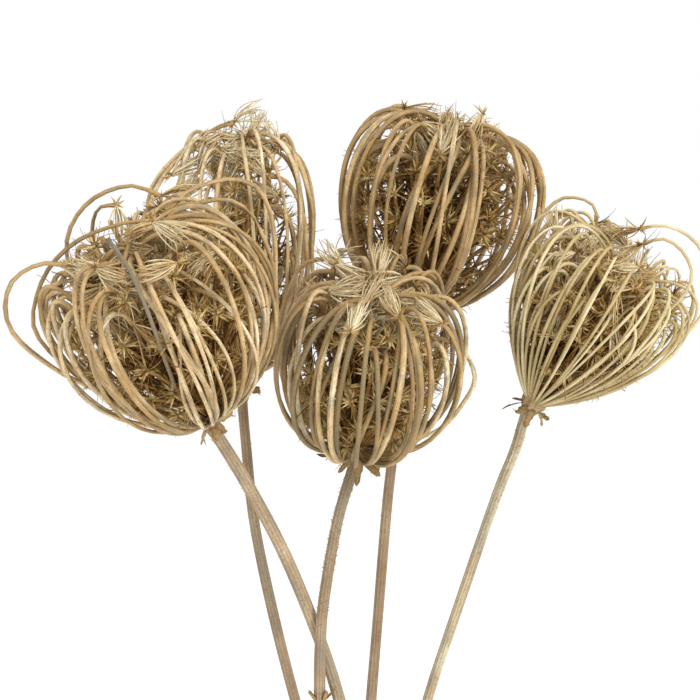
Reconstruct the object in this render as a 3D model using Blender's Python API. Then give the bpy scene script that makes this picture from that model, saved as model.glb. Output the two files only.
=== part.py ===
"""Dried bishop's flower in a plain glass vase: five seed heads of the toothpick plant.

Each flower is a stem that ends in a domed receptacle. Round the receptacle sit a ring of dry bracts and
the outer rays, stiff stalks that bulge and then curl over to a crown, so that they make a cage. Shorter
inner rays fill the cage. Every ray ends in an umbellet, a little brush of seed stalks.

Lengths are in metres. +Z is up, and the origin is the centre of the vase's underside. The flowers lean
on the vase's neck and stand on its floor, a seat gap away from both.
"""

import math

import bmesh
import bpy
from mathutils import Vector

MM = 0.001
SEAT_GAP = 0.3 * MM
SMOOTH_ANGLE = math.radians(40)

# The vase: height and outer radius at the foot, the belly, the neck's lower end and the lip.
VASE_SHAPE = ((0, 31), (40, 38), (135, 18.5), (150, 18.5))
VASE_WALL = 2.6 * MM
VASE_FLOOR = 8 * MM
VASE_FOOT_BEVEL = 1.5 * MM
VASE_FLOOR_FILLET = 3 * MM
VASE_LIP_ROUND = 0.8 * MM
VASE_RINGS = 12
VASE_SIDES = 32

# A stem: its radius, and the receptacle that it widens to at its top end.
STEM_RADIUS = 2.15 * MM
RECEPTACLE_RADIUS = 3.6 * MM
RECEPTACLE_LENGTH = 6 * MM
STEM_STEPS = 2
STEM_BEVEL_RESOLUTION = 2

# The two rings round a receptacle, and the hub on top of it, with their heights along the head's axis.
RING_INNER = RECEPTACLE_RADIUS + SEAT_GAP
RING_OUTER = 5.2 * MM
RAY_RING = (-1.2 * MM, 1.0 * MM)
BRACT_RING = (-2.9 * MM, -1.5 * MM)
HUB_RADIUS = 3.3 * MM
FACET_INSET = 0.12 * MM

# The rays, and the brush of seed stalks that ends each one: distance past the tip and width, in mm.
OUTER_RAYS = 16
OUTER_RAY_STEPS = 7
INNER_RAYS = 8
INNER_RAY_STEPS = 3
RAY_WIDTH = 1.8 * MM
TIERS = 2  # neighbouring rays stop in turn at these tiers, so that their umbellets lie side by side
TIER_DROP = 8 * MM
INNER_RAY_WIDTH = 1.2 * MM
INNER_REACH = 0.45  # of the way to the cage
INNER_AIMS = (0.45, 0.68)  # shares of the way along a ray of the cage
OUTER_UMBELLET = ((2, 3.0), (5.5, 3.8), (8.5, 1.4))
INNER_UMBELLET = ((2.5, 5), (7, 8), (11, 3))
USUAL_BELLY = 36  # mm; the inner umbellets of a narrower head are smaller
BEZIER_BULGE = 4 / 3  # a handle this many radii long makes a half circle of that radius

# Bracts: how far a bract reaches out and hangs down, and its width and thickness.
BRACTS = 8
BRACT_REACH = 5.5 * MM
BRACT_DROP = 2.0 * MM
BRACT_WIDTH = 2.0 * MM
BRACT_THICKNESS = 0.7 * MM

# How strongly a ray's place, spread, dive, belly and gathering differ from the head's own values.
JITTER = {"azimuth": 0.2, "spread": 7.0, "dive": 8.0, "belly": 0.07, "gather": 0.12}
# Steps that spread the rays' differences evenly, one for each kind of difference.
EVEN_STEPS = {"azimuth": 0.618034, "spread": 0.754878, "dive": 0.569840, "belly": 0.819173, "gather": 0.362716}

# Each flower: points that its stem passes on the way up, where its receptacle ends and where its crown
# is, in mm, then the cage: belly radius in mm, degrees by which a ray spreads from the axis at its root
# and dives at its tip, how far from the crown the tips stop, in mm, and how wide the curl at the top is.
FLOWERS = {
    "front_left": {
        "stem": (
            (22, -3, 0), (16, -6.5, 80), (10.3, -8.2, 135), (8.2, -9, 150), (3.6, -8.6, 178),
            (-3.6, -7.8, 206), (-10.1, -6.3, 226), (-21.9, -10, 256.5), (-33.5, -27, 283.5),
        ),
        "base": (-44.9, -37, 306.3), "crown": (-64.5, -67, 360.5),
        "belly": 38.5, "spread": 65, "dive": 36, "gather": 20, "curl": 1.05,
    },
    "back_left": {
        "stem": (
            (20.5, 10.4, 0), (9, 12, 80), (-1.4, 12.8, 135), (-4.6, 12.6, 150), (-11.8, 13, 176),
            (-19, 15, 199), (-27, 19, 230), (-33.4, 24, 260), (-36.2, 28, 285),
        ),
        "base": (-37.7, 30, 308.9), "crown": (-36.8, 27, 394.3),
        "belly": 24, "spread": 44, "dive": 25, "gather": 11.5, "curl": 1,
    },
    "centre": {
        "stem": (
            (-12, 12, 0), (-12, 2, 80), (-10.9, -6.5, 135), (-10.6, -8.2, 150), (-10.3, -9.6, 178),
            (-10.2, -11, 207), (-9.9, -11.4, 225.5), (-8.7, -9, 240.8), (-4.2, -2.4, 266),
        ),
        "base": (2.4, 1, 290.8), "crown": (8.9, -27, 344),
        "belly": 31.5, "spread": 84, "dive": 32, "gather": 14, "curl": 1,
    },
    "back_right": {
        "stem": (
            (-3, -15, 0), (0.5, 0, 80), (3.7, 10.3, 135), (4.4, 12.6, 150), (5.6, 14, 178),
            (7.3, 16, 199), (9.3, 19, 223), (13.3, 28, 269), (17.6, 34.5, 302),
        ),
        "base": (22, 38, 333.5), "crown": (36.5, 38, 397.8),
        "belly": 35.5, "spread": 74, "dive": 18, "gather": 16, "curl": 1,
    },
    "right": {
        "stem": (
            (-20, -9, 0), (-4, -4.5, 80), (9.4, 1.2, 135), (13.2, 2.3, 150), (20.3, 4.2, 178),
            (27.3, 5, 205), (36.6, 5, 234), (49.3, 5.5, 272), (55.5, 5.5, 288),
        ),
        "base": (62.3, 5, 305.8), "crown": (88.7, -6, 351.7),
        "belly": 33, "spread": 46, "dive": 36, "gather": 18, "curl": 0.93,
    },
}

# Colours, as linear red, green and blue, and roughness.
GLASS = {"colour": (0.86, 0.95, 0.91, 0.35), "roughness": 0.05}
STRAW = {"colour": (0.42, 0.29, 0.15, 1), "roughness": 0.75}
STALK = {"colour": (0.36, 0.27, 0.18, 1), "roughness": 0.8}
HUSK = {"colour": (0.30, 0.19, 0.09, 1), "roughness": 0.85}
SEED = {"colour": (0.33, 0.21, 0.10, 1), "roughness": 0.85}


def clear_scene():
    """Removes every object of the open file."""
    for thing in list(bpy.data.objects):
        bpy.data.objects.remove(thing, do_unlink=True)


def material(name, look):
    """A Principled material with this colour and roughness."""
    made = bpy.data.materials.new(name)
    made.use_nodes = True
    shader = made.node_tree.nodes["Principled BSDF"]
    shader.inputs["Base Color"].default_value = look["colour"]
    shader.inputs["Roughness"].default_value = look["roughness"]
    shader.inputs["Metallic"].default_value = 0.0
    return made


def keep(bm, name, look, place=None):
    """Turns a closed bmesh into a shaded object, at the head's place if one is given."""
    bmesh.ops.recalc_face_normals(bm, faces=bm.faces)
    mesh = bpy.data.meshes.new(name)
    bm.to_mesh(mesh)
    bm.free()
    mesh.shade_smooth()
    mesh.set_sharp_from_angle(angle=SMOOTH_ANGLE)
    mesh.materials.append(look)
    thing = bpy.data.objects.new(name, mesh)
    bpy.context.scene.collection.objects.link(thing)
    if place:
        thing.rotation_mode = "QUATERNION"
        thing.location, thing.rotation_quaternion = place
    return thing


def spun(bm, profile, sides):
    """Spins a closed or axis-to-axis profile of (radius, height) points once round Z."""
    corners = [bm.verts.new((radius, 0, height)) for radius, height in profile]
    pairs = list(zip(corners, corners[1:]))
    if profile[0][0] > 0:
        pairs.append((corners[-1], corners[0]))
    edges = [bm.edges.new(pair) for pair in pairs]
    bmesh.ops.spin(
        bm, geom=corners + edges, cent=(0, 0, 0), axis=(0, 0, 1), angle=math.tau, steps=sides, use_merge=True
    )
    bmesh.ops.remove_doubles(bm, verts=bm.verts, dist=0.01 * MM)


def vase_radius(height):
    """The vase's outer radius at a height, eased between the places of VASE_SHAPE."""
    for (low, radius), (high, next_radius) in zip(VASE_SHAPE, VASE_SHAPE[1:]):
        if height <= high * MM:
            share = (height / MM - low) / (high - low)
            return (radius + (next_radius - radius) * share * share * (3 - 2 * share)) * MM
    return VASE_SHAPE[-1][1] * MM


def make_vase(look):
    """A turned vase with a thick floor: up its outer wall, over the lip and down its inner wall."""
    top = VASE_SHAPE[-1][0] * MM
    foot = VASE_SHAPE[0][1] * MM
    rim = top - VASE_LIP_ROUND
    outer = [VASE_FOOT_BEVEL + (rim - VASE_FOOT_BEVEL) * ring / VASE_RINGS for ring in range(VASE_RINGS + 1)]
    lowest = VASE_FLOOR + VASE_FLOOR_FILLET
    inner = [rim + (lowest - rim) * ring / VASE_RINGS for ring in range(VASE_RINGS + 1)]
    profile = [(0, 0), (foot - VASE_FOOT_BEVEL, 0)]
    profile += [(vase_radius(height), height) for height in outer]
    profile += [(vase_radius(top) - VASE_LIP_ROUND, top), (vase_radius(top) - VASE_WALL + VASE_LIP_ROUND, top)]
    profile += [(vase_radius(height) - VASE_WALL, height) for height in inner]
    profile += [(vase_radius(lowest) - VASE_WALL - VASE_FLOOR_FILLET, VASE_FLOOR), (0, VASE_FLOOR)]
    bm = bmesh.new()
    spun(bm, profile, VASE_SIDES)
    keep(bm, "vase", look)


def spline_through(points, after, steps):
    """A Catmull-Rom curve through the points, heading for a point after the last one."""
    before = points[0] * 2 - points[1]
    chain = [before, *points, after]
    curve = []
    for a, b, c, d in zip(chain, chain[1:], chain[2:], chain[3:]):
        for step in range(steps):
            t = step / steps
            bend = (2 * a - 5 * b + 4 * c - d) * t * t + (3 * b - a - 3 * c + d) * t ** 3
            curve.append((2 * b + (c - a) * t + bend) / 2)
    return curve + [points[-1]]


def head_axis(flower):
    """The direction from a flower's receptacle to its crown."""
    return (Vector(flower["crown"]) - Vector(flower["base"])).normalized()


def stem_path(flower):
    """The stem's centre line, from its cut end on the vase's floor to the top of its receptacle."""
    base = Vector(flower["base"]) * MM
    neck = base - head_axis(flower) * RECEPTACLE_LENGTH
    points = [Vector(point) * MM for point in flower["stem"]]
    rise = (points[1] - points[0]).normalized()
    points[0].z = VASE_FLOOR + SEAT_GAP + STEM_RADIUS * math.hypot(rise.x, rise.y)
    return spline_through([*points, neck], base, STEM_STEPS) + [base - head_axis(flower) * 3 * MM, base]


def make_stem(name, flower, look):
    """One stem as a beveled curve that widens to its receptacle."""
    path = stem_path(flower)
    curve = bpy.data.curves.new(name, "CURVE")
    curve.dimensions = "3D"
    curve.bevel_depth = STEM_RADIUS
    curve.bevel_resolution = STEM_BEVEL_RESOLUTION
    curve.use_fill_caps = True
    spline = curve.splines.new("POLY")
    spline.points.add(len(path) - 1)
    wide = RECEPTACLE_RADIUS / STEM_RADIUS
    for point, place in zip(spline.points, path):
        point.co = (*place, 1)
    for point, widening in zip(list(spline.points)[-3:], (0.4, 0.85, 1)):
        point.radius = 1 + (wide - 1) * widening
    curve.materials.append(look)
    thing = bpy.data.objects.new(name, curve)
    bpy.context.scene.collection.objects.link(thing)


def place_section(face, centre, along, across, width, thickness):
    """Moves a four-sided face so that it stands square to along, width wide along across."""
    across = (across - along * across.dot(along)).normalized()
    through = along.cross(across)
    middle = face.calc_center_median()
    for corner in face.verts:
        offset = corner.co - middle
        side = math.copysign(width / 2, offset.dot(across))
        rise = math.copysign(thickness / 2, offset.dot(through))
        corner.co = centre + across * side + through * rise


def grow(bm, face, path, widths, thicknesses, across):
    """Extrudes a face along a path, one section at each point."""
    for number, (centre, width, thickness) in enumerate(zip(path, widths, thicknesses)):
        before = path[max(number - 1, 0)]
        after = path[min(number + 1, len(path) - 1)]
        face = bmesh.ops.extrude_discrete_faces(bm, faces=[face])["faces"][0]
        place_section(face, centre, (after - before).normalized(), across, width, thickness)


def facets(bm, wanted):
    """The faces that wanted picks, in order of azimuth, each with a rim of its own inside its old edge."""
    chosen = [face for face in bm.faces if len(face.verts) == 4 and wanted(face.calc_center_median())]
    bmesh.ops.inset_individual(bm, faces=chosen, thickness=FACET_INSET)
    return sorted(chosen, key=lambda face: azimuth_of(face.calc_center_median()))


def azimuth_of(point):
    return math.atan2(point.y, point.x) % math.tau


def outward(azimuth):
    return Vector((math.cos(azimuth), math.sin(azimuth), 0))


def sideways(azimuth):
    return Vector((-math.sin(azimuth), math.cos(azimuth), 0))


def vary(number, kind):
    """An even spread of values from -1 to 1, the same ones each run."""
    return 2 * ((number + 1) * EVEN_STEPS[kind] % 1) - 1


def bezier(points, t):
    """The point at share t of a cubic Bezier curve."""
    a, b, c, d = points
    s = 1 - t
    return a * s ** 3 + b * 3 * s * s * t + c * 3 * s * t * t + d * t ** 3


def cage_handles(flower, azimuth, differ):
    """A ray's Bezier points, in the head's frame: out from the receptacle, round the belly, in at the crown."""
    height = (Vector(flower["crown"]) - Vector(flower["base"])).length * MM - differ["drop"]
    out = outward(azimuth)
    up = Vector((0, 0, 1))
    spread = math.radians(flower["spread"] + differ["spread"])
    dive = math.radians(flower["dive"] + differ["dive"])
    belly = BEZIER_BULGE * flower["belly"] * MM * (1 - JITTER["belly"] + differ["belly"])
    root = out * RING_OUTER
    crown = up * height
    bulge = (up * math.cos(spread) + out * math.sin(spread)) * belly / max(math.sin(spread), 0.5)
    curl = (out * math.cos(dive) + up * math.sin(dive)) * belly * flower["curl"]
    return root, root + bulge, crown + curl, crown + out * flower["gather"] * MM * (1 + differ["gather"])


def outer_ray(flower, number, azimuth):
    """The path of one ray of the cage, which differs a little from its neighbours."""
    differ = {kind: size * vary(number, kind) for kind, size in JITTER.items()}
    differ["drop"] = TIER_DROP * (number % TIERS)
    handles = cage_handles(flower, azimuth + differ["azimuth"] * math.tau / OUTER_RAYS, differ)
    return [bezier(handles, (step + 1) / OUTER_RAY_STEPS) for step in range(OUTER_RAY_STEPS)]


def with_umbellet(path, width, brush, size=1):
    """The path carried on past its tip through the sections of its brush, and the width at each point."""
    ahead = (path[-1] - path[-2]).normalized() * size * MM
    widths = [width] * len(path) + [brush_width * size * MM for _, brush_width in brush]
    return path + [path[-1] + ahead * distance for distance, _ in brush], widths


def make_outer_rays(name, flower, place, look):
    """The cage: a ring round the receptacle, and a ray grown from each of its outer facets."""
    low, high = RAY_RING
    bm = bmesh.new()
    spun(bm, [(RING_INNER, low), (RING_OUTER, low), (RING_OUTER, high), (RING_INNER, high)], OUTER_RAYS)
    nearly_outer = RING_OUTER * 0.95
    roots = facets(bm, lambda middle: math.hypot(middle.x, middle.y) > nearly_outer)
    for number, face in enumerate(roots):
        azimuth = azimuth_of(face.calc_center_median())
        path, widths = with_umbellet(outer_ray(flower, number, azimuth), RAY_WIDTH, OUTER_UMBELLET)
        grow(bm, face, path, widths, widths, sideways(azimuth))
    keep(bm, name, look, place)


def inner_ray(flower, number, azimuth):
    """The path of one short ray, which heads for the cage from inside, by turns for its belly and its shoulder."""
    towards = bezier(cage_handles(flower, azimuth, dict.fromkeys([*JITTER, "drop"], 0)), INNER_AIMS[number % 2])
    tip = towards * INNER_REACH
    hub = Vector((0, 0, HUB_RADIUS + SEAT_GAP))
    root = hub + (tip - hub).normalized() * HUB_RADIUS
    return [root.lerp(tip, (step + 1) / INNER_RAY_STEPS) for step in range(INNER_RAY_STEPS)]


def make_inner_rays(name, flower, place, look):
    """The filling: a round hub on the receptacle, and short rays that end in fuller umbellets."""
    middle_height = HUB_RADIUS + SEAT_GAP
    bm = bmesh.new()
    bmesh.ops.create_uvsphere(bm, u_segments=INNER_RAYS, v_segments=6, radius=HUB_RADIUS)
    bmesh.ops.translate(bm, verts=bm.verts, vec=(0, 0, middle_height))
    roots = facets(bm, lambda middle: middle_height < middle.z < middle_height + HUB_RADIUS * 0.6)
    for number, face in enumerate(roots):
        azimuth = azimuth_of(face.calc_center_median())
        path = inner_ray(flower, number, azimuth)
        path, widths = with_umbellet(path, INNER_RAY_WIDTH, INNER_UMBELLET, flower["belly"] / USUAL_BELLY)
        grow(bm, face, path, widths, widths, sideways(azimuth))
    keep(bm, name, look, place)


def make_bracts(name, place, look):
    """The involucre: a narrow ring below the rays, with dry blades that stand out and droop."""
    low, high = BRACT_RING
    bm = bmesh.new()
    spun(bm, [(RING_INNER, low), (RING_OUTER, low), (RING_OUTER, high), (RING_INNER, high)], BRACTS * 2)
    nearly_outer = RING_OUTER * 0.95
    roots = facets(bm, lambda middle: math.hypot(middle.x, middle.y) > nearly_outer)[::2]
    for number, face in enumerate(roots):
        azimuth = azimuth_of(face.calc_center_median())
        reach = BRACT_REACH * (1 + 0.25 * vary(number, "gather"))
        start = face.calc_center_median()
        path = [
            start + outward(azimuth) * reach * share - Vector((0, 0, BRACT_DROP * share * share))
            for share in (0.3, 0.65, 1)
        ]
        widths = [BRACT_WIDTH * share for share in (1, 0.9, 0.3)]
        thicknesses = [BRACT_THICKNESS * share for share in (1, 0.8, 0.5)]
        grow(bm, face, path, widths, thicknesses, sideways(azimuth))
    keep(bm, name, look, place)


def main():
    clear_scene()
    straw = material("straw", STRAW)
    stalk = material("stalk", STALK)
    husk = material("husk", HUSK)
    seed = material("seed", SEED)
    make_vase(material("glass", GLASS))
    for name, flower in FLOWERS.items():
        turn = Vector((0, 0, 1)).rotation_difference(head_axis(flower))
        place = (Vector(flower["base"]) * MM, turn)
        make_stem(f"stem_{name}", flower, stalk)
        make_bracts(f"bracts_{name}", place, husk)
        make_outer_rays(f"outer_rays_{name}", flower, place, straw)
        make_inner_rays(f"inner_rays_{name}", flower, place, seed)


main()
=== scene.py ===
# %% [markdown]
# # Dried bishop's flowers in a glass vase
#
# A bishop's flower, or toothpick plant, carries its seeds on an umbel: dozens of stiff stalks, the rays, that
# all spring from one point. As the seeds ripen the rays curl inwards and shut the head into a cage. This scene
# dresses five such heads and their vase. Nearly every piece here is a bundle of strands, so one function that
# sweeps a closed tube along many paths at once does most of the modelling.

import math

import bpy
import numpy as np
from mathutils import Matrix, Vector


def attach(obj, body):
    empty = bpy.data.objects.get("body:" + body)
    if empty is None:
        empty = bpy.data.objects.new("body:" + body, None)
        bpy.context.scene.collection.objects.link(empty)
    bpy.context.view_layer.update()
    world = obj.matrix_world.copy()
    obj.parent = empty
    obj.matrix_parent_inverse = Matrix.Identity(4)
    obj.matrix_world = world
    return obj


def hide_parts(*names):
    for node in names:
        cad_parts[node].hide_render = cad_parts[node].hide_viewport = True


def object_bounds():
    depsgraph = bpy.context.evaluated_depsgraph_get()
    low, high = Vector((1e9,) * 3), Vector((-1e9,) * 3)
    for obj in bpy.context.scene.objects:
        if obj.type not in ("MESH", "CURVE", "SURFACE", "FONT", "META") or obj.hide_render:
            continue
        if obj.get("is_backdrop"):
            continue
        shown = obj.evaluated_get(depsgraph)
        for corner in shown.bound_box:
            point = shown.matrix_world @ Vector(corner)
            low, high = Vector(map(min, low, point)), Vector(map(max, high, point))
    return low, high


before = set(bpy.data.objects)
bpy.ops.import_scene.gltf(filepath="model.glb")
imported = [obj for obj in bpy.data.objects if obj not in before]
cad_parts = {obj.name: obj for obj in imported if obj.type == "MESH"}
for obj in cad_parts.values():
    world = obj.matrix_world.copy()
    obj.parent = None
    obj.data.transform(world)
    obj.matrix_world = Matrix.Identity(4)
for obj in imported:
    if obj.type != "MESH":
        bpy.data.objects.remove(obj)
cad_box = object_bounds()
print("solids in the frame:", len(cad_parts))
print("box of the solids, mm:", [[round(value * 1000, 1) for value in corner] for corner in cad_box])

# %% [markdown]
# ## Camera
#
# The camera comes first, so that every later step can be looked at. A long lens from a little way off keeps
# near and far heads at almost the same size, as product pictures do. It looks down by six degrees at the
# heads, and the vase stays below the picture.

# %% Camera
MM = 0.001
LENS = 100  # mm, on a 36 mm wide sensor
VIEW_DOWN = math.radians(6)
VIEW_DISTANCE = 648 * MM
VIEW_HEIGHT = 323.3 * MM

lens = bpy.data.cameras.new("studio_camera")
lens.lens = LENS
camera = bpy.data.objects.new("studio_camera", lens)
camera.location = (0, -VIEW_DISTANCE * math.cos(VIEW_DOWN), VIEW_HEIGHT + VIEW_DISTANCE * math.sin(VIEW_DOWN))
camera.rotation_euler = (math.pi / 2 - VIEW_DOWN, 0, 0)
bpy.context.scene.collection.objects.link(camera)
bpy.context.scene.camera = camera
print("camera at", [round(value, 3) for value in camera.location])
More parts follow.
